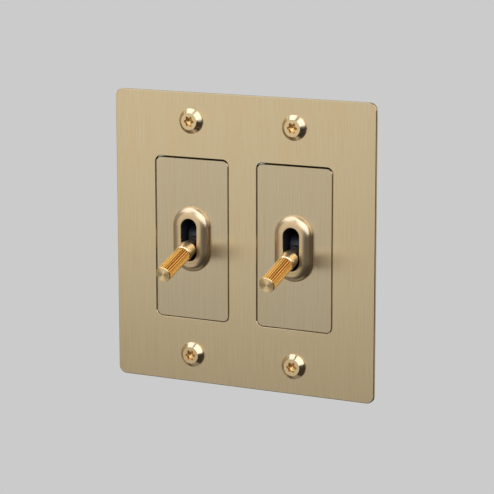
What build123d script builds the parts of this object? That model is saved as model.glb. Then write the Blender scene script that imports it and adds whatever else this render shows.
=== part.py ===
from build123d import *
import os
from math import cos, radians, sin, sqrt

# Two-gang toggle light switch: a flat brass face plate over two identical switch mechanisms.
# Millimetres. The wall is the plane Y = 0, the front faces -Y, +Z is up, and the origin is
# the middle of the face plate's back. Depths are Y values, so a larger depth is further in.

# Standard spacings: between gangs, of the box screws, and from a box screw to its plate screw
gang_pitch = 46.0
box_screw_span = 83.3
plate_screw_lead = 6.75

# Face plate
plate_width = 116.0
plate_height = 120.0
plate_thick = 1.2
plate_corner = 3.2
plate_edge = 0.25
opening_width = 33.4
opening_height = 66.8
opening_corner = 2.6

# Plate screws
plate_screw_dia = 3.5
plate_screw_length = 8.5
plate_hole_clear = 0.25
screw_head_dia = 10.3
screw_head_land = 0.55
screw_head_height = 2.2
screw_top_dia = 6.9
lobe_count = 6
lobe_across = 4.5
lobe_round = 0.52
lobe_core_dia = 3.3
lobe_depth = 1.3
lobe_floor_depth = 0.9

# Insert plate
insert_gap = 0.2
insert_drop = 0.1
insert_recess = 0.1
insert_edge = 0.28

# Collar round the slot
slot_width = 7.1
slot_height = 17.5
collar_wall = 4.75
collar_height = 3.1
collar_skirt = 0.3
lip_flat = 0.5
lip_thick = 0.9
lip_round = 0.2
collar_screw_dia = 1.6
collar_screw_head_dia = 3.0
collar_screw_grip = 1.6
collar_hole_spare = 0.3

# Clearances: pieces that drop into each other, threads, and turning or sliding fits
seat_clear = 0.1
thread_clear = 0.05
running_clear = 0.05

# Yoke: the steel strap
yoke_thick = 1.5
yoke_width = 33.0
yoke_end_width = 20.0
yoke_end_margin = 4.6
yoke_corner = 3.0
yoke_step = 2.4
yoke_slope = 2.0
yoke_bend = 1.0
box_slot_width = 4.0
box_slot_length = 7.0

# Ground flange and its screw
flange_gap = 2.0
flange_height = 7.0
flange_depth = 10.0
flange_margin = 1.0
ground_screw_depth = 6.0
ground_screw_dia = 3.4
ground_screw_length = 7.0
ground_head_across = 6.4
ground_head_height = 2.0

# Housing
housing_width = 25.0
housing_height = 42.0
housing_corner = 1.5
cover_depth = 11.0
turret_wall = 0.8
turret_step = 0.1
housing_floor = 7.6
channel_tab = 4.0
housing_screw_inset = 3.2
housing_screw_dia = 3.0
housing_screw_clear = 0.15
housing_head_dia = 5.2
housing_head_height = 1.6
housing_screw_short = 0.1
driver_slot_width = 0.9
driver_slot_depth = 0.8

# Toggle: pivot, hub, stem and grip. Reaches are measured from the pivot along the lever.
pivot_depth = 6.0
lever_tilt = 17.8
pin_dia = 2.5
pin_length = 17.0
drum_dia = 11.0
drum_side_clear = 0.35
drum_edge = 0.8
boss_dia = 5.2
boss_reach = 6.2
tail_dia = 2.6
tail_length = 3.8
neck_root_dia = 4.8
neck_dia = 7.0
neck_straight = 4.6
neck_cone = 3.4
neck_edge = 0.3
grip_reach = 16.3
grip_length = 17.4
grip_dia = 6.5
grip_rim = 0.45
grip_edge = 0.25
flute_count = 21
flute_width = 0.84
spigot_dia = 3.0
spigot_length = 6.0

# Spring barrel, spring and plunger, on the inner side of the pivot
barrel_dia = 6.0
barrel_reach = 10.5
pocket_dia = 3.46
pocket_floor = 2.8
plunger_dia = 3.3
plunger_back = 8.8
plunger_reach = 13.5
spring_dia = 3.0
spring_wire = 0.5
spring_turns = 5
wire_side_count = 8
stop_clear = 0.15
stop_rib = 2.0
stop_reach = 3.0
stop_length = 6.5

# Rocker: the see-saw contact blade
rocker_tilt = 7.0
rocker_width = 6.0
rocker_thick = 1.0
rocker_half_length = 9.5
track_half = 4.6
track_clear = 0.05
track_offset = 0.65
trunnion_dia = 1.8
trunnion_length = 1.6
contact_place = 8.0
contact_dia = 3.2
contact_thick = 0.7
contact_dome = 4.0
contact_shank_dia = 1.6
contact_clear = 0.05

# Terminals
terminal_thick = 0.8
fixed_contact_thick = 0.8
lead_width = 5.0
lead_start = 2.5
terminal_leg = 8.6
terminal_leg_width = 7.0
terminal_screw_dia = 3.4
terminal_screw_length = 5.0
terminal_hole_spare = 0.5
terminal_head_dia = 6.6
terminal_head_height = 2.0
terminal_screw_inset = 4.4
common_width = 4.4
common_behind = 1.04
ear_place = 3.9
ear_height = 3.4
ear_lead = 0.6
cavity_width = 10.8
cavity_height = 23.0
window_clear = 0.3

# Places and depths that follow from the sizes above
plate_screw_span = box_screw_span + 2 * plate_screw_lead
insert_front = insert_recess - plate_thick
lip_plane = insert_front - collar_height
turret_front = lip_plane + lip_thick + seat_clear
cover_back = yoke_thick + cover_depth
gang_places = (-gang_pitch / 2, gang_pitch / 2)

# The slot, its lining and the openings that the lining passes through
bore_width = slot_width + 2 * turret_step
bore_height = slot_height + 2 * turret_step
turret_width = bore_width + 2 * turret_wall
turret_height = bore_height + 2 * turret_wall
seat_width = turret_width + 2 * seat_clear
seat_height = turret_height + 2 * seat_clear
collar_width = slot_width + 2 * collar_wall
collar_length = slot_height + 2 * collar_wall
collar_screw_place = (seat_height + collar_length) / 4

# The lever's line at rest: out of the wall and down
tilt = radians(lever_tilt)
pivot = Vector(0, pivot_depth, 0)
lever_out = Vector(0, -cos(tilt), -sin(tilt))
lever_section = Plane(origin=pivot, x_dir=(1, 0, 0), z_dir=(0, sin(tilt), -cos(tilt)))
lever_axis = Axis(pivot, lever_out)
stop_half = barrel_reach * sin(tilt) + barrel_dia / 2 * cos(tilt) + stop_clear
pin_seat_half = pin_length / 2 + seat_clear

# The rocker turns against the lever. The middle of the plunger's nose draws nearly an arc in the
# rocker's own plane, from the two ends of the travel through its middle, and the track follows it.
nose_radius = plunger_dia / 2
nose_reach = plunger_reach - nose_radius
rocker_depth = pivot_depth + plunger_reach + track_clear + track_offset
swing = radians(rocker_tilt)
nose_mid = pivot_depth + nose_reach - rocker_depth
nose_end_depth = pivot_depth + nose_reach * cos(tilt) - rocker_depth
nose_end_height = nose_reach * sin(tilt)
path_end = nose_end_depth * cos(swing) - nose_end_height * sin(swing)
path_half = nose_end_depth * sin(swing) + nose_end_height * cos(swing)
path_rise = nose_mid - path_end
path_radius = (path_half**2 + path_rise**2) / (2 * path_rise)
track_radius = path_radius + nose_radius + track_clear
track_middle = nose_mid - path_radius
wing_front = track_middle + sqrt(track_radius**2 - track_half**2)
wing_back = wing_front + rocker_thick
rocker_plane = Plane(
    origin=(0, rocker_depth, 0),
    x_dir=(0, cos(swing), -sin(swing)),
    z_dir=(1, 0, 0),
)

# A closed contact pair meets at this depth, and the terminals stand behind it
dome_middle = wing_back + contact_thick - contact_dome
contact_depth = (
    rocker_depth + dome_middle * cos(swing) + contact_place * sin(swing) + contact_dome + contact_clear
)
lead_front = contact_depth + fixed_contact_thick
lead_back = lead_front + terminal_thick
common_back = lead_back + common_behind
body_back = common_back + housing_floor
housing_side = housing_width / 2
leg_outside = housing_side + terminal_thick
lead_screw_depth = lead_front + terminal_screw_inset
common_screw_depth = common_back - terminal_thick + terminal_screw_inset
screw_grid = (housing_width - 2 * housing_screw_inset, housing_height - 2 * housing_screw_inset)

# The ground flange hangs from the platform's lower right, below the housing
platform_half = housing_height / 2 + flange_gap + flange_height + flange_margin
flange_middle = -(housing_height / 2 + flange_gap + flange_height / 2)


def wall_plane(depth):
    """A sketch plane parallel to the wall, seen from the front: extruding goes towards -Y."""
    return Plane.XZ.offset(-depth)


def lever_cross(reach):
    """A sketch plane across the lever: extruding goes outwards along it."""
    return Plane(origin=pivot + lever_out * reach, x_dir=(1, 0, 0), z_dir=lever_out)


# Face plate: a sheet with two openings and four screw holes, its front edges lightly broken
with BuildPart() as face_plate:
    with BuildSketch(wall_plane(0)):
        RectangleRounded(plate_width, plate_height, plate_corner)
        with GridLocations(gang_pitch, 0, 2, 1):
            RectangleRounded(opening_width, opening_height, opening_corner, mode=Mode.SUBTRACT)
        with GridLocations(gang_pitch, plate_screw_span, 2, 2):
            Circle(plate_screw_dia / 2 + plate_hole_clear, mode=Mode.SUBTRACT)
    extrude(amount=plate_thick)
    chamfer(face_plate.faces().sort_by(Axis.Y)[0].edges(), length=plate_edge)
face_plate.part.label = "face_plate"

# Plate screw: a turned screw with a bevelled head and a six-lobe recess that ends in a cone
lobe_floor = lobe_depth - plate_thick - screw_head_height
with BuildPart() as plate_screw:
    with BuildSketch(Plane.XY):
        with BuildLine():
            Polyline(
                (0, plate_screw_length - plate_thick),
                (plate_screw_dia / 2, plate_screw_length - plate_thick),
                (plate_screw_dia / 2, -plate_thick),
                (screw_head_dia / 2, -plate_thick),
                (screw_head_dia / 2, -plate_thick - screw_head_land),
                (screw_top_dia / 2, -plate_thick - screw_head_height),
                (0, -plate_thick - screw_head_height),
                close=True,
            )
        make_face()
    revolve(axis=Axis.Y)
    with BuildSketch(wall_plane(-plate_thick - screw_head_height)):
        Circle(lobe_core_dia / 2)
        with PolarLocations(lobe_across / 2 - lobe_round, lobe_count):
            Circle(lobe_round)
    extrude(amount=-lobe_depth, mode=Mode.SUBTRACT)
    with BuildSketch(Plane.XY):
        with BuildLine():
            Polyline(
                (0, lobe_floor),
                (lobe_core_dia / 2, lobe_floor),
                (0, lobe_floor + lobe_floor_depth),
                close=True,
            )
        make_face()
    revolve(axis=Axis.Y, mode=Mode.SUBTRACT)

with BuildPart() as plate_screws:
    with Locations(*[(x, 0, z) for x in gang_places for z in (-plate_screw_span / 2, plate_screw_span / 2)]):
        add(plate_screw.part)
plate_screws.part.label = "plate_screws"

# Insert plate: fills the opening, where it hangs a little low, and is clamped under the collar
with BuildPart() as insert_plate:
    with BuildSketch(wall_plane(0)):
        with Locations((0, -insert_drop)):
            RectangleRounded(
                opening_width - 2 * insert_gap,
                opening_height - 2 * insert_gap,
                opening_corner - insert_gap,
            )
        SlotOverall(seat_height, seat_width, rotation=90, mode=Mode.SUBTRACT)
        with GridLocations(0, 2 * collar_screw_place, 1, 2):
            Circle(collar_screw_dia / 2 + seat_clear, mode=Mode.SUBTRACT)
    extrude(amount=-insert_front)
    chamfer(insert_plate.faces().sort_by(Axis.Y)[0].outer_wire().edges(), length=insert_edge)
insert_plate.part.label = "insert_plate"

# Collar: an obround ring with a narrow lip and a domed shoulder, counterbored over the turret.
# The shoulder is a quarter of an ellipse, run along the sides and turned round both ends.
lip_edge = slot_width / 2 + lip_flat
shoulder_foot = insert_front - collar_skirt
collar_run = (slot_height - slot_width) / 2
with BuildSketch(Plane.XY) as collar_profile:
    with BuildLine():
        Polyline(
            (lip_edge, lip_plane),
            (0, lip_plane),
            (0, insert_front),
            (collar_width / 2, insert_front),
            (collar_width / 2, shoulder_foot),
        )
        EllipticalCenterArc(
            (lip_edge, shoulder_foot),
            collar_width / 2 - lip_edge,
            shoulder_foot - lip_plane,
            start_angle=270,
            arc_size=90,
        )
    make_face()
with BuildPart() as collar:
    extrude(collar_profile.sketch, amount=collar_run, both=True)
    for end, turn in ((-collar_run, 180), (collar_run, -180)):
        revolve(
            collar_profile.sketch.moved(Location((0, 0, end))),
            axis=Axis((0, 0, end), (0, 1, 0)),
            revolution_arc=turn,
        )
    mirror(about=Plane.YZ)
    with BuildSketch(wall_plane(insert_front)):
        SlotOverall(slot_height, slot_width, rotation=90)
    extrude(amount=collar_height, mode=Mode.SUBTRACT)
    fillet(collar.faces().sort_by(Axis.Y)[0].inner_wires()[0].edges(), radius=lip_round)
    with BuildSketch(wall_plane(insert_front)):
        SlotOverall(seat_height, seat_width, rotation=90)
    extrude(amount=collar_height - lip_thick, mode=Mode.SUBTRACT)
    with BuildSketch(wall_plane(insert_front)):
        with GridLocations(0, 2 * collar_screw_place, 1, 2):
            Circle(collar_screw_dia / 2 + thread_clear)
    extrude(amount=collar_screw_grip + collar_hole_spare, mode=Mode.SUBTRACT)
collar.part.label = "collar"

# Collar screws: countersunk into the back of the yoke
collar_head_depth = (collar_screw_head_dia - collar_screw_dia) / 2
with BuildPart() as collar_screw:
    with BuildSketch(Plane.XY):
        with BuildLine():
            Polyline(
                (0, insert_front - collar_screw_grip),
                (collar_screw_dia / 2, insert_front - collar_screw_grip),
                (collar_screw_dia / 2, yoke_thick - collar_head_depth),
                (collar_screw_head_dia / 2, yoke_thick),
                (0, yoke_thick),
                close=True,
            )
        make_face()
    revolve(axis=Axis.Y)

with BuildPart() as collar_screws:
    with Locations((0, 0, collar_screw_place), (0, 0, -collar_screw_place)):
        add(collar_screw.part)
collar_screws.part.label = "collar_screws"

# Yoke: a bent steel strap. The raised platform carries the insert and the housing, and the ends
# stand back to leave room behind the face plate for the heads of the box screws.
plate_hole_place = plate_screw_span / 2
yoke_half = plate_hole_place + yoke_end_margin
slope_end = platform_half + yoke_slope
with BuildPart() as yoke:
    with BuildSketch(Plane.YZ):
        with BuildLine() as strap_line:
            FilletPolyline(
                (yoke_step, -yoke_half),
                (yoke_step, -slope_end),
                (0, -platform_half),
                (0, platform_half),
                (yoke_step, slope_end),
                (yoke_step, yoke_half),
                radius=yoke_bend,
            )
            offset(amount=yoke_thick, side=Side.RIGHT)
        make_face()
    extrude(amount=yoke_width / 2, both=True)
    with BuildSketch(Plane.XZ):
        RectangleRounded(yoke_width, 2 * slope_end, yoke_corner)
        RectangleRounded(yoke_end_width, 2 * yoke_half, yoke_corner)
    extrude(amount=yoke_step + yoke_thick, both=True, mode=Mode.INTERSECT)
    with BuildSketch(Plane.YZ.offset(yoke_width / 2 - yoke_thick)):
        with Locations((flange_depth / 2, flange_middle)):
            Rectangle(flange_depth, flange_height)
    extrude(amount=yoke_thick)
    with BuildSketch(Plane.XZ):
        SlotOverall(seat_height, seat_width, rotation=90)
        with GridLocations(*screw_grid, 2, 2):
            Circle(housing_screw_dia / 2 + thread_clear)
        with GridLocations(0, plate_screw_span, 1, 2):
            Circle(plate_screw_dia / 2 + thread_clear)
        with GridLocations(0, box_screw_span, 1, 2):
            SlotOverall(box_slot_length, box_slot_width)
    extrude(amount=-yoke_step - yoke_thick, mode=Mode.SUBTRACT)
    with BuildSketch(Plane.YZ.offset(yoke_width / 2 - yoke_thick)):
        with Locations((ground_screw_depth, flange_middle)):
            Circle(ground_screw_dia / 2 + thread_clear)
    extrude(amount=yoke_thick, mode=Mode.SUBTRACT)
    with Locations(Plane(origin=(0, yoke_thick, 0), x_dir=(1, 0, 0), z_dir=(0, 1, 0))):
        with GridLocations(0, 2 * collar_screw_place, 1, 2):
            CounterSinkHole(
                collar_screw_dia / 2 + thread_clear,
                collar_screw_head_dia / 2 + thread_clear,
                depth=yoke_thick,
                counter_sink_angle=90,
            )
yoke.part.label = "yoke"

# Ground screw: hexagon head on the flange
with BuildPart() as ground_screw:
    with BuildSketch(Plane.YZ.offset(yoke_width / 2)):
        with Locations((ground_screw_depth, flange_middle)):
            RegularPolygon(ground_head_across / 2, 6, major_radius=False)
    extrude(amount=ground_head_height)
    with BuildSketch(Plane.YZ.offset(yoke_width / 2)):
        with Locations((ground_screw_depth, flange_middle)):
            Circle(ground_screw_dia / 2)
    extrude(amount=-ground_screw_length)
ground_screw.part.label = "ground_screw"

# Housing cover: a moulded block with the turret that lines the slot, seats for the pivot pin that
# open to the back, two ribs that stop the spring barrel at the ends of the throw, and two tabs
# that close the body's lead channels
with BuildPart() as housing_cover:
    with BuildSketch(wall_plane(cover_back)):
        RectangleRounded(housing_width, housing_height, housing_corner)
    extrude(amount=cover_depth)
    with BuildSketch(wall_plane(yoke_thick)):
        SlotOverall(turret_height, turret_width, rotation=90)
    extrude(amount=yoke_thick - turret_front)
    with BuildSketch(wall_plane(cover_back)):
        Rectangle(bore_width, 2 * (stop_half + stop_rib))
    extrude(amount=-stop_reach)
    with BuildSketch(wall_plane(cover_back)):
        with Locations((housing_side, contact_place), (housing_side, -contact_place)):
            Rectangle(channel_tab, lead_width, align=(Align.MAX, Align.CENTER))
    extrude(amount=cover_back + seat_clear - lead_front)
    with BuildSketch(wall_plane(cover_back + stop_reach)):
        Rectangle(bore_width, 2 * stop_half)
    extrude(amount=stop_length, mode=Mode.SUBTRACT)
    with BuildSketch(wall_plane(cover_back + stop_reach - stop_length)):
        SlotOverall(bore_height, bore_width, rotation=90)
    extrude(amount=cover_back + stop_reach - stop_length - turret_front, mode=Mode.SUBTRACT)
    with BuildSketch(Plane.YZ):
        with Locations((pivot_depth, 0)):
            Circle(pin_dia / 2 + running_clear)
        with Locations(((pivot_depth + cover_back) / 2, 0)):
            Rectangle(cover_back - pivot_depth, pin_dia + 2 * running_clear)
    extrude(amount=pin_seat_half, both=True, mode=Mode.SUBTRACT)
    with BuildSketch(wall_plane(cover_back)):
        with GridLocations(*screw_grid, 2, 2):
            Circle(housing_screw_dia / 2 + housing_screw_clear)
    extrude(amount=cover_depth, mode=Mode.SUBTRACT)
housing_cover.part.label = "housing_cover"

# Housing body: holds the contacts. Two tongues close the pin seats. The upper and lower leads lie
# in channels open to the front, and the common terminal slides in through a side window.
tongue_inside = cavity_width / 2 + seat_clear
tongue_outside = pin_seat_half - seat_clear
tongue_reach = cover_back - pivot_depth - pin_dia / 2 - running_clear
with BuildPart() as housing_body:
    with BuildSketch(wall_plane(body_back)):
        RectangleRounded(housing_width, housing_height, housing_corner)
    extrude(amount=body_back - cover_back)
    with BuildSketch(wall_plane(cover_back)):
        with GridLocations(tongue_inside + tongue_outside, 0, 2, 1):
            Rectangle(tongue_outside - tongue_inside, pin_dia)
    extrude(amount=tongue_reach)
    with BuildSketch(wall_plane(lead_back)):
        Rectangle(cavity_width, cavity_height)
        with GridLocations(0, 2 * contact_place, 1, 2):
            Rectangle(housing_side, lead_width + 2 * seat_clear, align=(Align.MIN, Align.CENTER))
    extrude(amount=lead_back - cover_back, mode=Mode.SUBTRACT)
    with BuildSketch(wall_plane(common_back)):
        Rectangle(cavity_width, common_width + 2 * seat_clear)
        Rectangle(housing_side, common_width + 2 * seat_clear, align=(Align.MAX, Align.CENTER))
    extrude(amount=common_back - rocker_depth + ear_lead + window_clear, mode=Mode.SUBTRACT)
    with BuildSketch(wall_plane(body_back)):
        with GridLocations(*screw_grid, 2, 2):
            Circle(housing_screw_dia / 2 + housing_screw_clear)
    extrude(amount=body_back - cover_back, mode=Mode.SUBTRACT)
    with BuildSketch(Plane.YZ.offset(housing_side)):
        with Locations((lead_screw_depth, contact_place), (lead_screw_depth, -contact_place)):
            Circle(terminal_screw_dia / 2 + seat_clear)
    extrude(amount=-terminal_screw_length - terminal_hole_spare, mode=Mode.SUBTRACT)
    with BuildSketch(Plane.YZ.offset(-housing_side)):
        with Locations((common_screw_depth, 0)):
            Circle(terminal_screw_dia / 2 + seat_clear)
    extrude(amount=terminal_screw_length + terminal_hole_spare, mode=Mode.SUBTRACT)
housing_body.part.label = "housing_body"

# Housing screws: from the back, through body and cover, into the yoke
with BuildPart() as housing_screw:
    with BuildSketch(wall_plane(body_back)):
        Circle(housing_screw_dia / 2)
    extrude(amount=body_back - housing_screw_short)
    with BuildSketch(wall_plane(body_back)):
        Circle(housing_head_dia / 2)
    extrude(amount=-housing_head_height)
    with BuildSketch(wall_plane(body_back + housing_head_height)):
        Rectangle(housing_head_dia, driver_slot_width)
    extrude(amount=driver_slot_depth, mode=Mode.SUBTRACT)

with BuildPart() as housing_screws:
    with Locations(*[(x, 0, z) for x in (-screw_grid[0] / 2, screw_grid[0] / 2)
                     for z in (-screw_grid[1] / 2, screw_grid[1] / 2)]):
        add(housing_screw.part)
housing_screws.part.label = "housing_screws"

# Pivot pin: lies in the cover's seats and carries the hub
with BuildPart() as pivot_pin:
    with BuildSketch(Plane.YZ):
        with Locations((pivot_depth, 0)):
            Circle(pin_dia / 2)
    extrude(amount=pin_length / 2, both=True)
pivot_pin.part.label = "pivot_pin"

# Toggle hub: a moulded drum with a boss for the stem and a barrel for the spring
with BuildPart() as toggle_hub:
    with BuildSketch(Plane.YZ):
        with Locations((pivot_depth, 0)):
            Circle(drum_dia / 2)
    extrude(amount=bore_width / 2 - drum_side_clear, both=True)
    chamfer(toggle_hub.edges().filter_by(GeomType.CIRCLE), length=drum_edge)
    with BuildSketch(lever_cross(0)):
        Circle(boss_dia / 2)
    extrude(amount=boss_reach)
    with BuildSketch(lever_cross(0)):
        Circle(barrel_dia / 2)
    extrude(amount=-barrel_reach)
    with BuildSketch(Plane.YZ):
        with Locations((pivot_depth, 0)):
            Circle(pin_dia / 2 + running_clear)
    extrude(amount=bore_width / 2, both=True, mode=Mode.SUBTRACT)
    with BuildSketch(lever_cross(boss_reach)):
        Circle(tail_dia / 2 + thread_clear)
    extrude(amount=-tail_length - seat_clear, mode=Mode.SUBTRACT)
    with BuildSketch(lever_cross(-barrel_reach)):
        Circle(pocket_dia / 2)
    extrude(amount=barrel_reach - pocket_floor, mode=Mode.SUBTRACT)
toggle_hub.part.label = "toggle_hub"

# Lever stem: turned brass, a rod that widens in a cone to a straight neck, with threaded ends
neck_start = grip_reach - neck_edge - neck_straight
with BuildPart() as lever_stem:
    with BuildSketch(lever_section):
        with BuildLine():
            Polyline(
                (0, boss_reach - tail_length),
                (tail_dia / 2, boss_reach - tail_length),
                (tail_dia / 2, boss_reach),
                (neck_root_dia / 2, boss_reach),
                (neck_root_dia / 2, neck_start - neck_cone),
                (neck_dia / 2, neck_start),
                (neck_dia / 2, grip_reach - neck_edge),
                (neck_dia / 2 - neck_edge, grip_reach),
                (spigot_dia / 2, grip_reach),
                (spigot_dia / 2, grip_reach + spigot_length),
                (0, grip_reach + spigot_length),
                close=True,
            )
        make_face()
    revolve(axis=lever_axis)
lever_stem.part.label = "lever_stem"

# Grip: a turned bar with straight flutes from the neck to a plain rim
with BuildPart() as grip:
    with BuildSketch(lever_cross(grip_reach)):
        Circle(grip_dia / 2)
    extrude(amount=grip_length)
    chamfer(grip.faces().sort_by(lever_axis)[-1].edges(), length=grip_edge)
    with BuildSketch(lever_cross(grip_reach)):
        with PolarLocations(grip_dia / 2, flute_count):
            Rectangle(flute_width / sqrt(2), flute_width / sqrt(2), rotation=45)
    extrude(amount=grip_length - grip_rim, mode=Mode.SUBTRACT)
    with BuildSketch(lever_cross(grip_reach)):
        Circle(spigot_dia / 2 + thread_clear)
    extrude(amount=spigot_length + seat_clear, mode=Mode.SUBTRACT)
grip.part.label = "grip"

# Detent spring: a coil between the pocket's floor and the plunger, its round wire drawn with flats
spring_start = pocket_floor + spring_wire / 2 + running_clear
spring_end = plunger_back - spring_wire / 2 - running_clear
spring_radius = (spring_dia - spring_wire) / 2
with BuildPart() as detent_spring:
    with BuildLine() as coil:
        Helix(
            pitch=(spring_end - spring_start) / spring_turns,
            height=spring_end - spring_start,
            radius=spring_radius,
            center=pivot - lever_out * spring_start,
            direction=-lever_out,
        )
    with BuildSketch(Plane(origin=coil.line @ 0, z_dir=coil.line % 0)):
        RegularPolygon(spring_wire / 2, wire_side_count)
    sweep(is_frenet=True)
detent_spring.part.label = "detent_spring"

# Plunger: slides in the barrel and presses the rocker with its round nose
with BuildPart() as plunger:
    with BuildSketch(lever_section):
        with BuildLine():
            Line((0, -plunger_back), (plunger_dia / 2, -plunger_back))
            Line((plunger_dia / 2, -plunger_back), (nose_radius, -nose_reach))
            CenterArc((0, -nose_reach), nose_radius, 0, -90)
            Line((0, -plunger_reach), (0, -plunger_back))
        make_face()
    revolve(axis=lever_axis)
plunger.part.label = "plunger"

# Rocker: a stamped copper-alloy blade with a curved track, two wings and side trunnions
with BuildPart() as rocker:
    with BuildSketch(rocker_plane):
        with Locations((track_middle, 0)):
            Circle(track_radius + rocker_thick)
        with Locations((wing_front, 0)):
            Rectangle(
                2 * track_radius,
                2 * rocker_half_length,
                align=(Align.MIN, Align.CENTER),
                mode=Mode.INTERSECT,
            )
            Rectangle(rocker_thick, 2 * rocker_half_length, align=(Align.MIN, Align.CENTER))
        with Locations((track_middle, 0)):
            Circle(track_radius, mode=Mode.SUBTRACT)
    extrude(amount=rocker_width / 2, both=True)
    for side in (-1, 1):
        with BuildSketch(rocker_plane.offset(side * rocker_width / 2)):
            Circle(trunnion_dia / 2)
        extrude(amount=side * trunnion_length)
    with Locations(rocker_plane * Location((wing_back, contact_place, 0), (0, 90, 0)),
                   rocker_plane * Location((wing_back, -contact_place, 0), (0, 90, 0))):
        Hole(contact_shank_dia / 2 + thread_clear, depth=rocker_thick)
rocker.part.label = "rocker"

# Rocker contacts: silver rivets with domed heads on the back of the wings
with BuildPart() as rocker_contacts:
    for place in (contact_place, -contact_place):
        with BuildSketch(rocker_plane):
            with BuildLine():
                dome_edge = dome_middle + sqrt(contact_dome**2 - (contact_dia / 2) ** 2)
                Polyline(
                    (wing_back + contact_thick, place),
                    (wing_front, place),
                    (wing_front, place + contact_shank_dia / 2),
                    (wing_back, place + contact_shank_dia / 2),
                    (wing_back, place + contact_dia / 2),
                    (dome_edge, place + contact_dia / 2),
                )
                RadiusArc(
                    (dome_edge, place + contact_dia / 2),
                    (wing_back + contact_thick, place),
                    contact_dome,
                )
            make_face()
        revolve(axis=Axis(rocker_plane.from_local_coords((0, place, 0)), rocker_plane.x_dir))
rocker_contacts.part.label = "rocker_contacts"

# Upper and lower terminals: bent copper-alloy strips, a lead inside and a leg on the right side
lead_terminals = {}
for name, side in (("upper_terminal", 1), ("lower_terminal", -1)):
    with BuildPart() as terminal:
        with BuildSketch(wall_plane(lead_back)):
            with Locations((-lead_start, side * contact_place)):
                Rectangle(
                    lead_start + housing_side, lead_width, align=(Align.MIN, Align.CENTER)
                )
        extrude(amount=terminal_thick)
        with BuildSketch(Plane.YZ.offset(housing_side)):
            with Locations((lead_front, side * contact_place)):
                Rectangle(terminal_leg, terminal_leg_width, align=(Align.MIN, Align.CENTER))
        extrude(amount=terminal_thick)
        with BuildSketch(Plane.YZ.offset(housing_side)):
            with Locations((lead_screw_depth, side * contact_place)):
                Circle(terminal_screw_dia / 2 + thread_clear)
        extrude(amount=terminal_thick, mode=Mode.SUBTRACT)
        with BuildSketch(wall_plane(lead_back)):
            with Locations((0, side * contact_place)):
                Circle(contact_shank_dia / 2 + thread_clear)
        extrude(amount=terminal_thick, mode=Mode.SUBTRACT)
    terminal.part.label = name
    lead_terminals[name] = terminal

# Fixed contacts: silver rivets on the two leads
with BuildPart() as fixed_contacts:
    with BuildSketch(wall_plane(lead_front)):
        with GridLocations(0, 2 * contact_place, 1, 2):
            Circle(contact_dia / 2)
    extrude(amount=fixed_contact_thick)
    with BuildSketch(wall_plane(lead_back)):
        with GridLocations(0, 2 * contact_place, 1, 2):
            Circle(contact_shank_dia / 2)
    extrude(amount=terminal_thick)
fixed_contacts.part.label = "fixed_contacts"

# Common terminal: a strip with two notched ears that cradle the rocker, and a leg on the left side
common_front = common_back - terminal_thick
with BuildPart() as common_terminal:
    with BuildSketch(wall_plane(common_back)):
        with Locations((-housing_side, 0)):
            Rectangle(
                housing_side + ear_place + terminal_thick / 2,
                common_width,
                align=(Align.MIN, Align.CENTER),
            )
    extrude(amount=terminal_thick)
    for place in (-ear_place, ear_place):
        with BuildSketch(Plane.YZ.offset(place)):
            with Locations((rocker_depth - ear_lead, 0)):
                Rectangle(
                    common_front - rocker_depth + ear_lead, ear_height, align=(Align.MIN, Align.CENTER)
                )
            with Locations((rocker_depth, 0)):
                Circle(trunnion_dia / 2 + running_clear, mode=Mode.SUBTRACT)
                Rectangle(
                    2 * ear_lead,
                    trunnion_dia + 2 * running_clear,
                    align=(Align.MAX, Align.CENTER),
                    mode=Mode.SUBTRACT,
                )
        extrude(amount=terminal_thick / 2, both=True)
    with BuildSketch(Plane.YZ.offset(-housing_side)):
        with Locations((common_front, 0)):
            Rectangle(terminal_leg, terminal_leg_width, align=(Align.MIN, Align.CENTER))
    extrude(amount=-terminal_thick)
    with BuildSketch(Plane.YZ.offset(-housing_side)):
        with Locations((common_screw_depth, 0)):
            Circle(terminal_screw_dia / 2 + thread_clear)
    extrude(amount=-terminal_thick, mode=Mode.SUBTRACT)
common_terminal.part.label = "common_terminal"

# Terminal screws: two on the right side, one on the left
with BuildPart() as terminal_screw:
    with BuildSketch(Plane.YZ.offset(leg_outside)):
        Circle(terminal_head_dia / 2)
    extrude(amount=terminal_head_height)
    with BuildSketch(Plane.YZ.offset(leg_outside + terminal_head_height)):
        Rectangle(terminal_head_dia, driver_slot_width)
    extrude(amount=-driver_slot_depth, mode=Mode.SUBTRACT)
    with BuildSketch(Plane.YZ.offset(leg_outside)):
        Circle(terminal_screw_dia / 2)
    extrude(amount=-terminal_thick - terminal_screw_length)

with BuildPart() as terminal_screws:
    with Locations((0, lead_screw_depth, contact_place), (0, lead_screw_depth, -contact_place)):
        add(terminal_screw.part)
    with Locations(Location((0, common_screw_depth, 0), (0, 0, 180))):
        add(terminal_screw.part)
terminal_screws.part.label = "terminal_screws"

# Write the shared pieces once and each gang's pieces at its own place
os.makedirs("parts", exist_ok=True)
for shared in (face_plate, plate_screws):
    export_step(shared.part, f"parts/{shared.part.label}.step")

gang_pieces = (
    insert_plate, collar, collar_screws, yoke, ground_screw, housing_cover, housing_body, housing_screws,
    pivot_pin, toggle_hub, lever_stem, grip, detent_spring, plunger, rocker, rocker_contacts,
    common_terminal, *lead_terminals.values(), fixed_contacts, terminal_screws,
)
for gang, place in zip(("left", "right"), gang_places):
    for piece in gang_pieces:
        placed = piece.part.moved(Location((place, 0, 0)))
        placed.label = f"{gang}_{piece.part.label}"
        export_step(placed, f"parts/{placed.label}.step")
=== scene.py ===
from math import cos, pi, radians, sin

import bmesh
import bpy
from mathutils import Matrix, Vector


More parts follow.
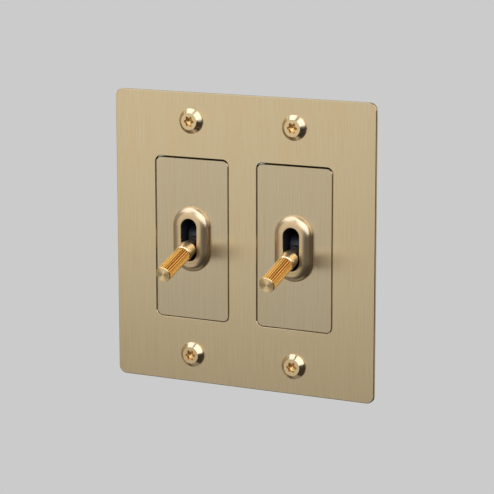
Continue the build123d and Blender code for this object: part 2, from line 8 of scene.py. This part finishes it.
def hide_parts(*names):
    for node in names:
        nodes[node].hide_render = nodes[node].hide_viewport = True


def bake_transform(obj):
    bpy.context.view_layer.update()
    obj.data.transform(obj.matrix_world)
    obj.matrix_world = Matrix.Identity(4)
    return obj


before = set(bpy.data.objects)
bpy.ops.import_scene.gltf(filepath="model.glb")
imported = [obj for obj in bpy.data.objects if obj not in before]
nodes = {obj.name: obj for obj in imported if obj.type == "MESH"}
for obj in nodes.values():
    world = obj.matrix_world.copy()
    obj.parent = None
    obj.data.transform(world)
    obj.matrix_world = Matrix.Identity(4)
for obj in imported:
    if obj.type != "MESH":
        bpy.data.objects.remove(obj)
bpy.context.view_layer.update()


# Yokes and collar screws: straps bent from 1.5 mm steel sheet that screw to the wall box, and the
# small screws that hold the collars from behind. Barrel zinc plating gives a pale bluish grey,
# cloudy over the sheet's rolling lines. Faces that look forward are painted dark brown as painted
# shade, which keeps the gaps round the inserts dark.
gangs = ("left", "right")


def linear(hex_colour):
    """An sRGB hex colour as the linear RGBA that a shader takes."""
    channels = [int(hex_colour[i:i + 2], 16) / 255 for i in (1, 3, 5)]
    return [c / 12.92 if c <= 0.04045 else ((c + 0.055) / 1.055) ** 2.4 for c in channels] + [1.0]


def add(tree, kind, values=None, links=None, **settings):
    """Adds a node with its settings, its inputs' values and the outputs that feed its inputs."""
    made = tree.nodes.new("ShaderNode" + kind)
    for name, value in settings.items():
        setattr(made, name, value)
    for name, value in (values or {}).items():
        made.inputs[name].default_value = value
    for name, source in (links or {}).items():
        tree.links.new(source, made.inputs[name])
    return made


def new_finish(name):
    """A new material and its empty node tree."""
    finish = bpy.data.materials.new(name)
    finish.use_nodes = True
    finish.node_tree.nodes.clear()
    return finish, finish.node_tree


def apply_finish(finish, *names):
    """Gives a finish to these CAD nodes."""
    for name in names:
        nodes[name].data.materials.clear()
        nodes[name].data.materials.append(finish)


def of_each(*names):
    """The names of these pieces in both gangs."""
    return [f"{gang}_{name}" for gang in gangs for name in names]


cloud_size = 0.005
rolling_width, rolling_length = 0.0003, 0.02
front_below = -0.5
zinc_steel, tree = new_finish("zinc_plated_steel")
place = add(tree, "TexCoord")
cloud = add(tree, "TexNoise", {"Scale": 1 / cloud_size, "Detail": 5.0},
            {"Vector": place.outputs["Object"]})
long_ways = add(tree, "Mapping", {"Scale": (1 / rolling_width, 1 / rolling_width, 1 / rolling_length)},
                {"Vector": place.outputs["Object"]})
rolling = add(tree, "TexNoise", {"Scale": 1.0, "Detail": 3.0},
              {"Vector": long_ways.outputs["Vector"]})
plating = add(tree, "Mix", {"A": linear("#A3A9AE"), "B": linear("#CDD0CF")},
              {"Factor": cloud.outputs["Fac"]}, data_type="RGBA")
surface = add(tree, "NewGeometry")
facing = add(tree, "SeparateXYZ", links={"Vector": surface.outputs["Normal"]})
# Painted shade: faces that look forward are painted dark brown, so that the gaps round the inserts
# look shaded.
painted_shade_front = add(tree, "Math", {1: front_below}, {0: facing.outputs["Y"]}, operation="LESS_THAN")
tone = add(tree, "Mix", {"B": linear("#4A3D28")},
           {"Factor": painted_shade_front.outputs["Value"], "A": plating.outputs["Result"]}, data_type="RGBA")
gloss = add(tree, "MapRange", {"To Min": 0.24, "To Max": 0.46}, {"Value": cloud.outputs["Fac"]})
relief = add(tree, "Bump", {"Strength": 0.15, "Distance": 0.00002},
             {"Height": rolling.outputs["Fac"]})
shader = add(tree, "BsdfPrincipled", {"Metallic": 1.0}, {
    "Base Color": tone.outputs["Result"], "Roughness": gloss.outputs["Result"],
    "Normal": relief.outputs["Normal"]})
add(tree, "OutputMaterial", links={"Surface": shader.outputs["BSDF"]})
apply_finish(zinc_steel, *of_each("yoke", "collar_screws"))

# Ground screws: hexagon-headed steel screws on the yokes' flanges, for the earth wire. They are
# plated and dyed green, so that the earth is known, and the dye shows small clouds.
cloud_size = 0.0015
green_steel, tree = new_finish("green_dyed_steel")
place = add(tree, "TexCoord")
cloud = add(tree, "TexNoise", {"Scale": 1 / cloud_size, "Detail": 4.0},
            {"Vector": place.outputs["Object"]})
tone = add(tree, "Mix", {"A": linear("#2F6B41"), "B": linear("#5A9A68")},
           {"Factor": cloud.outputs["Fac"]}, data_type="RGBA")
shader = add(tree, "BsdfPrincipled", {"Metallic": 1.0, "Roughness": 0.34},
             {"Base Color": tone.outputs["Result"]})
add(tree, "OutputMaterial", links={"Surface": shader.outputs["BSDF"]})
apply_finish(green_steel, *of_each("ground_screw"))

# Housings and toggle hubs: the insulating boxes behind the yokes, and the drums that turn in them
# with the levers, moulded in black glass-filled nylon. The tool's spark-eroded faces leave a fine
# even grain with a low sheen, and the glass shows as faint flow marks along the mould.
grain_size = 0.0003
flow_width, flow_length = 0.0015, 0.008
black_nylon, tree = new_finish("moulded_black_nylon")
place = add(tree, "TexCoord")
grain = add(tree, "TexNoise", {"Scale": 1 / grain_size, "Detail": 2.0},
            {"Vector": place.outputs["Object"]})
along_mould = add(tree, "Mapping", {"Scale": (1 / flow_width, 1 / flow_width, 1 / flow_length)},
                  {"Vector": place.outputs["Object"]})
flow = add(tree, "TexNoise", {"Scale": 1.0, "Detail": 4.0},
           {"Vector": along_mould.outputs["Vector"]})
tone = add(tree, "Mix", {"A": linear("#141417"), "B": linear("#232327")},
           {"Factor": flow.outputs["Fac"]}, data_type="RGBA")
gloss = add(tree, "MapRange", {"To Min": 0.36, "To Max": 0.52}, {"Value": flow.outputs["Fac"]})
relief = add(tree, "Bump", {"Strength": 0.2, "Distance": 0.00004},
             {"Height": grain.outputs["Fac"]})
shader = add(tree, "BsdfPrincipled", {"IOR": 1.53}, {
    "Base Color": tone.outputs["Result"], "Roughness": gloss.outputs["Result"],
    "Normal": relief.outputs["Normal"]})
add(tree, "OutputMaterial", links={"Surface": shader.outputs["BSDF"]})
apply_finish(black_nylon, *of_each("housing_cover", "housing_body", "toggle_hub"))

# Housing screws and pivot pins: the slotted screws that go in from the back, through the housing
# into the yoke, and the pins that the hubs turn on. Turned steel with bright zinc plating, which
# gives a sharp but uneven shine.
cloud_size = 0.0012
bright_steel, tree = new_finish("bright_plated_steel")
place = add(tree, "TexCoord")
cloud = add(tree, "TexNoise", {"Scale": 1 / cloud_size, "Detail": 4.0},
            {"Vector": place.outputs["Object"]})
gloss = add(tree, "MapRange", {"To Min": 0.16, "To Max": 0.34}, {"Value": cloud.outputs["Fac"]})
shader = add(tree, "BsdfPrincipled", {"Base Color": linear("#C6C9CC"), "Metallic": 1.0},
             {"Roughness": gloss.outputs["Result"]})
add(tree, "OutputMaterial", links={"Surface": shader.outputs["BSDF"]})
apply_finish(bright_steel, *of_each("housing_screws", "pivot_pin"))

# Springs: coils of hard-drawn steel wire with a streaky grey shine. Each stands between the floor
# of its hub's pocket and the back of its plunger. A copy of the CAD coil takes its place.
streak_size = 0.0004
spring_steel, tree = new_finish("drawn_spring_steel")
place = add(tree, "TexCoord")
drawn = add(tree, "TexNoise", {"Scale": 1 / streak_size, "Detail": 3.0},
            {"Vector": place.outputs["Object"]})
gloss = add(tree, "MapRange", {"To Min": 0.22, "To Max": 0.4}, {"Value": drawn.outputs["Fac"]})
shader = add(tree, "BsdfPrincipled", {"Base Color": linear("#A7A9AC"), "Metallic": 1.0},
             {"Roughness": gloss.outputs["Result"]})
add(tree, "OutputMaterial", links={"Surface": shader.outputs["BSDF"]})
apply_finish(spring_steel, *of_each("detent_spring"))

for gang in gangs:
    coil = bpy.data.objects.new(f"{gang}_coil", nodes[f"{gang}_detent_spring"].data.copy())
    bpy.context.scene.collection.objects.link(coil)
    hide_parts(f"{gang}_detent_spring")
    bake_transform(coil)

# Plungers: round-nosed pegs that slide in the hubs' barrels and press on the rockers, moulded in
# white acetal, which slides without grease. It is a little translucent, with a soft even sheen.
cloud_size = 0.002
white_acetal, tree = new_finish("moulded_white_acetal")
place = add(tree, "TexCoord")
cloud = add(tree, "TexNoise", {"Scale": 1 / cloud_size, "Detail": 2.0},
            {"Vector": place.outputs["Object"]})
tone = add(tree, "Mix", {"A": linear("#DFDCD2"), "B": linear("#EDEAE2")},
           {"Factor": cloud.outputs["Fac"]}, data_type="RGBA")
shader = add(tree, "BsdfPrincipled", {
    "Roughness": 0.38, "IOR": 1.48, "Subsurface Weight": 0.1, "Subsurface Scale": 0.001},
    {"Base Color": tone.outputs["Result"]})
add(tree, "OutputMaterial", links={"Surface": shader.outputs["BSDF"]})
apply_finish(white_acetal, *of_each("plunger"))

# Rockers and terminals: the see-saw contact blades, and the strips that carry the current to legs
# on the housings' sides, where the wires go. Stamped from rolled brass strip, bent and left bare,
# so they tarnish in clouds.
cloud_size = 0.004
strip_brass, tree = new_finish("rolled_brass_strip")
place = add(tree, "TexCoord")
cloud = add(tree, "TexNoise", {"Scale": 1 / cloud_size, "Detail": 6.0},
            {"Vector": place.outputs["Object"]})
tone = add(tree, "Mix", {"A": linear("#B98F4E"), "B": linear("#E3C17C")},
           {"Factor": cloud.outputs["Fac"]}, data_type="RGBA")
gloss = add(tree, "MapRange", {"To Min": 0.26, "To Max": 0.44}, {"Value": cloud.outputs["Fac"]})
shader = add(tree, "BsdfPrincipled", {"Metallic": 1.0},
             {"Base Color": tone.outputs["Result"], "Roughness": gloss.outputs["Result"]})
add(tree, "OutputMaterial", links={"Surface": shader.outputs["BSDF"]})
apply_finish(strip_brass, *of_each("rocker", "common_terminal", "upper_terminal", "lower_terminal"))

# Contacts: silver alloy rivets in the rockers' wings and in the upper and lower terminals, which
# meet in pairs as a lever is thrown. Bare silver has a pale warm shine, dulled in small patches.
cloud_size = 0.001
contact_silver, tree = new_finish("silver_contact_alloy")
place = add(tree, "TexCoord")
cloud = add(tree, "TexNoise", {"Scale": 1 / cloud_size, "Detail": 3.0},
            {"Vector": place.outputs["Object"]})
gloss = add(tree, "MapRange", {"To Min": 0.22, "To Max": 0.4}, {"Value": cloud.outputs["Fac"]})
shader = add(tree, "BsdfPrincipled", {"Base Color": linear("#DDDAD3"), "Metallic": 1.0},
             {"Roughness": gloss.outputs["Result"]})
add(tree, "OutputMaterial", links={"Surface": shader.outputs["BSDF"]})
apply_finish(contact_silver, *of_each("rocker_contacts", "fixed_contacts"))

# Terminal screws: turned brass with slotted heads, threaded through the terminals' legs, where
# they clamp the wires. Thin plating keeps them bright, and cloudy where it varies.
cloud_size = 0.0015
screw_brass, tree = new_finish("plated_screw_brass")
place = add(tree, "TexCoord")
cloud = add(tree, "TexNoise", {"Scale": 1 / cloud_size, "Detail": 4.0},
            {"Vector": place.outputs["Object"]})
tone = add(tree, "Mix", {"A": linear("#C49A50"), "B": linear("#E2C077")},
           {"Factor": cloud.outputs["Fac"]}, data_type="RGBA")
gloss = add(tree, "MapRange", {"To Min": 0.18, "To Max": 0.34}, {"Value": cloud.outputs["Fac"]})
shader = add(tree, "BsdfPrincipled", {"Metallic": 1.0},
             {"Base Color": tone.outputs["Result"], "Roughness": gloss.outputs["Result"]})
add(tree, "OutputMaterial", links={"Surface": shader.outputs["BSDF"]})
apply_finish(screw_brass, *of_each("terminal_screws"))


# Insert plates: 1.1 mm brass sheet that fills the face plate's openings, clamped under the collars.
# Belt brushing upright smears each reflection sideways and leaves short upright hairlines. The cut
# edges carry painted shade by the way they face, darkest on top, which paints the gaps dark.
def brushed_brass(name, deep, pale, under_edge_shade, top_edge_shade):
    """Brass sheet with upright hairlines. Real ones are under 0.1 mm wide; 0.4 mm is what shows."""
    hairline_width, hairline_length = 0.0004, 0.018
    belt_width, belt_length, belt_share = 0.004, 0.12, 0.3
    side_edge_shade, sides_from = "#F4EFE6", 0.35
    corner_edge_shade, corners_from, tops_from = "#CBC1B1", 0.65, 0.72
    square_on = 0.95
    finish, tree = new_finish(name)
    place = add(tree, "TexCoord")
    upright = add(
        tree, "Mapping", {"Scale": (1 / hairline_width, 1 / hairline_width, 1 / hairline_length)},
        {"Vector": place.outputs["Object"]})
    hairline = add(tree, "TexNoise", {"Scale": 1.0, "Detail": 2.0, "Roughness": 0.65},
                   {"Vector": upright.outputs["Vector"]})
    belt = add(tree, "Mapping", {"Scale": (1 / belt_width, 1 / belt_width, 1 / belt_length)},
               {"Vector": place.outputs["Object"]})
    band = add(tree, "TexNoise", {"Scale": 1.0, "Detail": 2.0}, {"Vector": belt.outputs["Vector"]})
    both = add(tree, "Math", {1: belt_share},
               {0: band.outputs["Fac"], 2: hairline.outputs["Fac"]}, operation="MULTIPLY_ADD")
    spread = add(tree, "MapRange", {"From Min": 0.38, "From Max": 0.92},
                 {"Value": both.outputs["Value"]})
    face = add(tree, "Mix", {"A": linear(deep), "B": linear(pale)},
               {"Factor": spread.outputs["Result"]}, data_type="RGBA")
    # Painted shade: the cut edges are tinted by which way they face, and the same tint dulls their
    # grazing shine; broad faces stay untinted.
    surface = add(tree, "NewGeometry")
    facing = add(tree, "SeparateXYZ", links={"Vector": surface.outputs["Normal"]})
    down_to_up = add(tree, "MapRange", {"From Min": -1.0}, {"Value": facing.outputs["Z"]})
    painted_edge_shade = add(tree, "ValToRGB", links={"Fac": down_to_up.outputs["Result"]})
    ramp = painted_edge_shade.color_ramp
    ramp.interpolation = "CONSTANT"
    ramp.elements[0].color = linear(under_edge_shade)
    ramp.elements[1].position, ramp.elements[1].color = sides_from, linear(side_edge_shade)
    ramp.elements.new(corners_from).color = linear(corner_edge_shade)
    ramp.elements.new(tops_from).color = linear(top_edge_shade)
    fore_and_aft = add(tree, "Math", links={0: facing.outputs["Y"]}, operation="ABSOLUTE")
    broad_face = add(tree, "Math", {1: square_on}, {0: fore_and_aft.outputs["Value"]},
                     operation="GREATER_THAN")
    edge_shade_tint = add(tree, "Mix", {"B": linear("#FFFFFF")},
               {"Factor": broad_face.outputs["Value"], "A": painted_edge_shade.outputs["Color"]},
               data_type="RGBA")
    tone = add(tree, "Mix", {"Factor": 1.0},
               {"A": face.outputs["Result"], "B": edge_shade_tint.outputs["Result"]},
               data_type="RGBA", blend_type="MULTIPLY")
    gloss = add(tree, "MapRange", {"To Min": 0.28, "To Max": 0.35},
                {"Value": spread.outputs["Result"]})
    relief = add(tree, "Bump", {"Strength": 0.1, "Distance": 0.00001},
                 {"Height": hairline.outputs["Fac"]})
    # Across the hairlines. The part along Y serves the edges that face sideways.
    across = add(tree, "CombineXYZ", {"X": 1.0, "Y": 0.3})
    shader = add(tree, "BsdfPrincipled", {"Metallic": 1.0, "Anisotropic": 0.9}, {
        "Base Color": tone.outputs["Result"], "Roughness": gloss.outputs["Result"],
        "Specular Tint": edge_shade_tint.outputs["Result"], "Normal": relief.outputs["Normal"],
        "Tangent": across.outputs["Vector"]})
    add(tree, "OutputMaterial", links={"Surface": shader.outputs["BSDF"]})
    return finish


insert_brass = brushed_brass("brushed_brass_insert", "#CDB992", "#DFCFAE", "#9A8C78", "#4E3A1C")
apply_finish(insert_brass, *of_each("insert_plate"))

# Collars: round-ended brass rings with a domed shoulder, milled, and screwed on from behind through
# yoke and insert. Bead blasting gives a smooth satin with a barely seen grain, drawn coarser than
# the real one, and clear lacquer lays a second, sharper shine over it.
blast_size, cloud_size = 0.00025, 0.005
satin_brass, tree = new_finish("satin_blasted_brass")
place = add(tree, "TexCoord")
blast = add(tree, "TexNoise", {"Scale": 1 / blast_size, "Detail": 2.0},
            {"Vector": place.outputs["Object"]})
cloud = add(tree, "TexNoise", {"Scale": 1 / cloud_size, "Detail": 3.0},
            {"Vector": place.outputs["Object"]})
gloss = add(tree, "MapRange", {"To Min": 0.28, "To Max": 0.32}, {"Value": cloud.outputs["Fac"]})
relief = add(tree, "Bump", {"Strength": 0.03, "Distance": 0.00001},
             {"Height": blast.outputs["Fac"]})
shader = add(tree, "BsdfPrincipled", {
    "Base Color": linear("#CCB082"), "Metallic": 1.0, "Coat Weight": 1.0, "Coat Roughness": 0.22},
    {"Roughness": gloss.outputs["Result"], "Normal": relief.outputs["Normal"]})
add(tree, "OutputMaterial", links={"Surface": shader.outputs["BSDF"]})
apply_finish(satin_brass, *of_each("collar"))

# Lever stems: turned brass rods that widen in a cone to a straight neck, screwed into hub and grip.
# They are burnished, and the lathe's rings are too fine to see, so the neck shines softly.
cloud_size = 0.003
burnished_brass, tree = new_finish("burnished_turned_brass")
place = add(tree, "TexCoord")
cloud = add(tree, "TexNoise", {"Scale": 1 / cloud_size, "Detail": 4.0},
            {"Vector": place.outputs["Object"]})
gloss = add(tree, "MapRange", {"To Min": 0.28, "To Max": 0.36}, {"Value": cloud.outputs["Fac"]})
shader = add(tree, "BsdfPrincipled", {"Base Color": linear("#F6D9A6"), "Metallic": 1.0},
             {"Roughness": gloss.outputs["Result"]})
add(tree, "OutputMaterial", links={"Surface": shader.outputs["BSDF"]})
apply_finish(burnished_brass, *of_each("lever_stem"))

# Grips: turned brass bars with straight milled flutes, screwed onto the stems. The flat end is
# spun, so rings too fine to draw run round it and it shines in cones. The flutes carry painted
# shade, a deep gold in their hollows, and the ridges between them are painted paler.
gang_pitch, pivot_depth = 0.046, 0.006
lever_axis = (0.0, -0.9521, -0.3057)
end_from, end_to = 0.03355, 0.03365
flute_radius, ridge_radius = 0.003, 0.0032
grip_brass, tree = new_finish("fluted_grip_brass")
place = add(tree, "TexCoord")
# X wraps at the gang pitch, so that one lever's axis serves both grips.
one_gang = add(tree, "VectorMath", {1: (gang_pitch, 1.0, 1.0), 2: (0.0, -1.0, -1.0)},
               {0: place.outputs["Object"]}, operation="WRAP")
from_pivot = add(tree, "VectorMath", {1: (gang_pitch / 2, pivot_depth, 0.0)},
                 {0: one_gang.outputs["Vector"]}, operation="SUBTRACT")
outwards = add(tree, "VectorTransform", links={"Vector": from_pivot.outputs["Vector"]},
               vector_type="VECTOR", convert_from="OBJECT", convert_to="WORLD")
reach = add(tree, "VectorMath", {1: lever_axis}, {0: from_pivot.outputs["Vector"]},
            operation="DOT_PRODUCT")
along = add(tree, "VectorMath", {1: lever_axis}, {0: from_pivot.outputs["Vector"]},
            operation="PROJECT")
radius = add(tree, "VectorMath",
             links={0: from_pivot.outputs["Vector"], 1: along.outputs["Vector"]},
             operation="DISTANCE")
end_face = add(tree, "MapRange", {"From Min": end_from, "From Max": end_to},
               {"Value": reach.outputs["Value"]})
# Painted shade: the colour goes from deep gold at the flutes' bottoms to paler on the ridges, by
# distance from the lever's axis.
groove_shade_fade = add(tree, "MapRange", {"From Min": flute_radius, "From Max": ridge_radius},
            {"Value": radius.outputs["Value"]})
painted_groove_shade = add(tree, "Mix", {"A": linear("#BC8334"), "B": linear("#E8BE72")},
            {"Factor": groove_shade_fade.outputs["Result"]}, data_type="RGBA")
tone = add(tree, "Mix", {"B": linear("#F6D59B")},
           {"Factor": end_face.outputs["Result"], "A": painted_groove_shade.outputs["Result"]}, data_type="RGBA")
gloss = add(tree, "MapRange", {"To Min": 0.25, "To Max": 0.42},
            {"Value": end_face.outputs["Result"]})
shader = add(tree, "BsdfPrincipled", {"Metallic": 1.0, "Anisotropic": 0.95}, {
    "Base Color": tone.outputs["Result"], "Roughness": gloss.outputs["Result"],
    "Tangent": outwards.outputs["Vector"]})
add(tree, "OutputMaterial", links={"Surface": shader.outputs["BSDF"]})
apply_finish(grip_brass, *of_each("grip"))

# Face plate: one sheet of 1.2 mm brass with two openings, its front edges lightly broken, screwed
# to the yokes. It is brushed upright like the inserts but paler, and its cut edges carry painted
# shade by the way they face, darkest on the downward ones.
plate_brass = brushed_brass("brushed_brass_plate", "#D8BF92", "#EBD8B0", "#2A2116", "#CBC1B1")
apply_finish(plate_brass, "face_plate")

# Plate screws: turned brass with bevelled heads and six-lobe recesses, that hold the plate to the
# yokes. The polish mirrors the softboxes in hard-edged patches round each bevel. The recesses,
# which polishing hardly reaches, are duller, and they are painted a deeper gold as painted shade.
cloud_size = 0.003
screw_span = 0.0968
recess_radius, recess_mouth, recess_floor = 0.0024, -0.00335, -0.0027
recess_dullness = 0.22
polished_brass, tree = new_finish("polished_turned_brass")
place = add(tree, "TexCoord")
cloud = add(tree, "TexNoise", {"Scale": 1 / cloud_size, "Detail": 4.0},
            {"Vector": place.outputs["Object"]})
gloss = add(tree, "MapRange", {"To Min": 0.14, "To Max": 0.22}, {"Value": cloud.outputs["Fac"]})
# X and Z wrap likewise, so that one axis serves all four screws.
one_screw = add(tree, "VectorMath", {1: (gang_pitch, 1.0, screw_span), 2: (0.0, -1.0, 0.0)},
                {0: place.outputs["Object"]}, operation="WRAP")
from_axis = add(tree, "VectorMath", {1: (gang_pitch / 2, 0.0, screw_span / 2)},
                {0: one_screw.outputs["Vector"]}, operation="SUBTRACT")
flat = add(tree, "VectorMath", {1: (1.0, 0.0, 1.0)}, {0: from_axis.outputs["Vector"]},
           operation="MULTIPLY")
radius = add(tree, "VectorMath", links={0: flat.outputs["Vector"]}, operation="LENGTH")
inside = add(tree, "Math", {1: recess_radius}, {0: radius.outputs["Value"]}, operation="LESS_THAN")
depth = add(tree, "SeparateXYZ", links={"Vector": place.outputs["Object"]})
sunk = add(tree, "MapRange", {"From Min": recess_mouth, "From Max": recess_floor},
           {"Value": depth.outputs["Y"]})
shaded_dull_recess = add(tree, "Math", links={0: sunk.outputs["Result"], 1: inside.outputs["Value"]},
             operation="MULTIPLY")
# Painted shade: inside the recesses the colour turns a deeper gold; the recess also raises the
# roughness.
tone = add(tree, "Mix", {"A": linear("#D0B78C"), "B": linear("#D6AE6A")},
           {"Factor": shaded_dull_recess.outputs["Value"]}, data_type="RGBA")
dulled = add(tree, "Math", {1: recess_dullness},
             {0: shaded_dull_recess.outputs["Value"], 2: gloss.outputs["Result"]}, operation="MULTIPLY_ADD")
shader = add(tree, "BsdfPrincipled", {"Metallic": 1.0},
             {"Base Color": tone.outputs["Result"], "Roughness": dulled.outputs["Value"]})
add(tree, "OutputMaterial", links={"Surface": shader.outputs["BSDF"]})
apply_finish(polished_brass, "plate_screws")

# Studio: the part hangs free, with a pale grey paper floor well below it and a pale grey card
# behind it. The floor lies to the left, which keeps the screws' lower right bevels from mirroring
# it. The card shows one even grey to the camera and to what mirrors it.
paper_grey = linear("#CBCBCB")
floor_half, floor_centre = 1.8, (-1.1, 0.8, -2.6)
card_half, card_centre = 0.7, Vector((-0.55, 1.1, 0.05))
camera_azimuth, camera_elevation, camera_roll = radians(26.62), radians(11.08), radians(-0.1)
back = Vector((sin(camera_azimuth) * cos(camera_elevation),
               -cos(camera_azimuth) * cos(camera_elevation), sin(camera_elevation)))

paper, tree = new_finish("grey_studio_paper")
shader = add(tree, "BsdfPrincipled",
             {"Base Color": paper_grey, "Roughness": 0.9, "Specular IOR Level": 0.1})
add(tree, "OutputMaterial", links={"Surface": shader.outputs["BSDF"]})

even_card, tree = new_finish("evenly_lit_grey_card")
ray = add(tree, "LightPath")
seen = add(tree, "Math", links={0: ray.outputs["Is Camera Ray"], 1: ray.outputs["Is Glossy Ray"]},
           operation="MAXIMUM")
shown = add(tree, "Math", links={0: seen.outputs["Value"], 1: ray.outputs["Is Transmission Ray"]},
            operation="MAXIMUM")
matt = add(tree, "BsdfDiffuse", {"Color": paper_grey})
even = add(tree, "Emission", {"Color": paper_grey, "Strength": 1.0})
either = add(tree, "MixShader", links={
    0: shown.outputs["Value"], 1: matt.outputs["BSDF"], 2: even.outputs["Emission"]})
add(tree, "OutputMaterial", links={"Surface": either.outputs["Shader"]})

floor_mesh = bmesh.new()
bmesh.ops.create_grid(floor_mesh, x_segments=1, y_segments=1, size=floor_half)
bmesh.ops.translate(floor_mesh, verts=floor_mesh.verts, vec=floor_centre)
card_mesh = bmesh.new()
bmesh.ops.create_grid(card_mesh, x_segments=1, y_segments=1, size=card_half)
card_turn = Vector((back.x, back.y, 0)).to_track_quat("Z", "Y").to_matrix().to_4x4()
card_place = Matrix.Translation(card_centre)
bmesh.ops.transform(card_mesh, verts=card_mesh.verts, matrix=card_place @ card_turn)
for name, shape, finish in (("studio_floor", floor_mesh, paper),
                            ("studio_card", card_mesh, even_card)):
    sheet = bpy.data.objects.new(name, bpy.data.meshes.new(name))
    shape.to_mesh(sheet.data)
    shape.free()
    sheet.data.materials.append(finish)
    bpy.context.scene.collection.objects.link(sheet)


# Lights: two large cool softboxes, overhead and at the upper right, with a narrow gap between them.
# A wide weak panel at the front left, turned aslant, is what the brushed sheets mirror, and a small
# low one lights the grips' ends.
def softbox(name, place, width, height, brightness, colour, roll=0.0):
    """A softbox that points at the origin, its face of the given brightness, where 1 is white."""
    light = bpy.data.lights.new(name, "AREA")
    light.shape = "RECTANGLE"
    light.size, light.size_y = width, height
    light.energy = brightness * pi * width * height
    light.color = linear(colour)[:3]
    lamp = bpy.data.objects.new(name, light)
    turn = (-Vector(place)).to_track_quat("-Z", "Y").to_matrix().to_4x4()
    lamp.matrix_world = Matrix.Translation(place) @ turn @ Matrix.Rotation(radians(roll), 4, "Z")
    bpy.context.scene.collection.objects.link(lamp)


softbox("overhead_sail", (-0.72, -0.54, 1.21), width=1.35, height=1.46, brightness=2.3,
        colour="#CCDDFF")
softbox("right_softbox", (0.55, -0.82, 0.7), width=1.56, height=1.25, brightness=2.85,
        colour="#D8E3FF", roll=-18)
softbox("front_panel", (-0.65, -1.35, 0.17), width=1.45, height=1.27, brightness=0.68,
        colour="#FFFFFF", roll=-22)
softbox("low_fill", (-0.51, -0.80, -0.66), width=0.7, height=0.45, brightness=0.66,
        colour="#FFFFFF")

# Room: the dim grey walls round the studio, brighter towards the upper left in front of the part
# and brighter again behind it.
left_wall, back_wall = (-0.8, -0.6, 0.5), (0.0, 1.0, 0.6)
world = bpy.data.worlds.new("studio_room")
bpy.context.scene.world = world
world.use_nodes = True
tree = world.node_tree
tree.nodes.clear()
way = add(tree, "TexCoord")
to_left = add(tree, "VectorMath", {1: left_wall}, {0: way.outputs["Generated"]},
              operation="DOT_PRODUCT")
left = add(tree, "MapRange", {"From Min": 0.1, "From Max": 1.0, "To Min": 0.06, "To Max": 0.36},
           {"Value": to_left.outputs["Value"]})
to_back = add(tree, "VectorMath", {1: back_wall}, {0: way.outputs["Generated"]},
              operation="DOT_PRODUCT")
behind = add(tree, "MapRange", {"From Min": 0.15, "From Max": 0.7, "To Max": 0.6},
             {"Value": to_back.outputs["Value"]})
walls = add(tree, "Math", links={0: left.outputs["Result"], 1: behind.outputs["Result"]},
            operation="ADD")
room = add(tree, "Background", links={"Color": walls.outputs["Value"]})
add(tree, "OutputWorld", links={"Surface": room.outputs["Background"]})

# Camera: a long lens at the photograph's viewing angle, from the right and a little above, with no
# shift and nothing out of focus.
camera_distance = 0.8293
aim = Vector((0.00206, -0.0012, -0.00122))
right = Vector((cos(camera_azimuth), sin(camera_azimuth), 0))
up = back.cross(right)
turned_right = right * cos(camera_roll) + up * sin(camera_roll)
turned_up = up * cos(camera_roll) - right * sin(camera_roll)
lens = bpy.data.cameras.new("product_camera")
lens.sensor_width = 36.0
lens.lens = 150.14
camera = bpy.data.objects.new("product_camera", lens)
camera.matrix_world = (Matrix.Translation(aim + back * camera_distance)
                       @ Matrix((turned_right, turned_up, back)).transposed().to_4x4())
bpy.context.scene.collection.objects.link(camera)
bpy.context.scene.camera = camera
bpy.context.scene.view_settings.view_transform = "Standard"
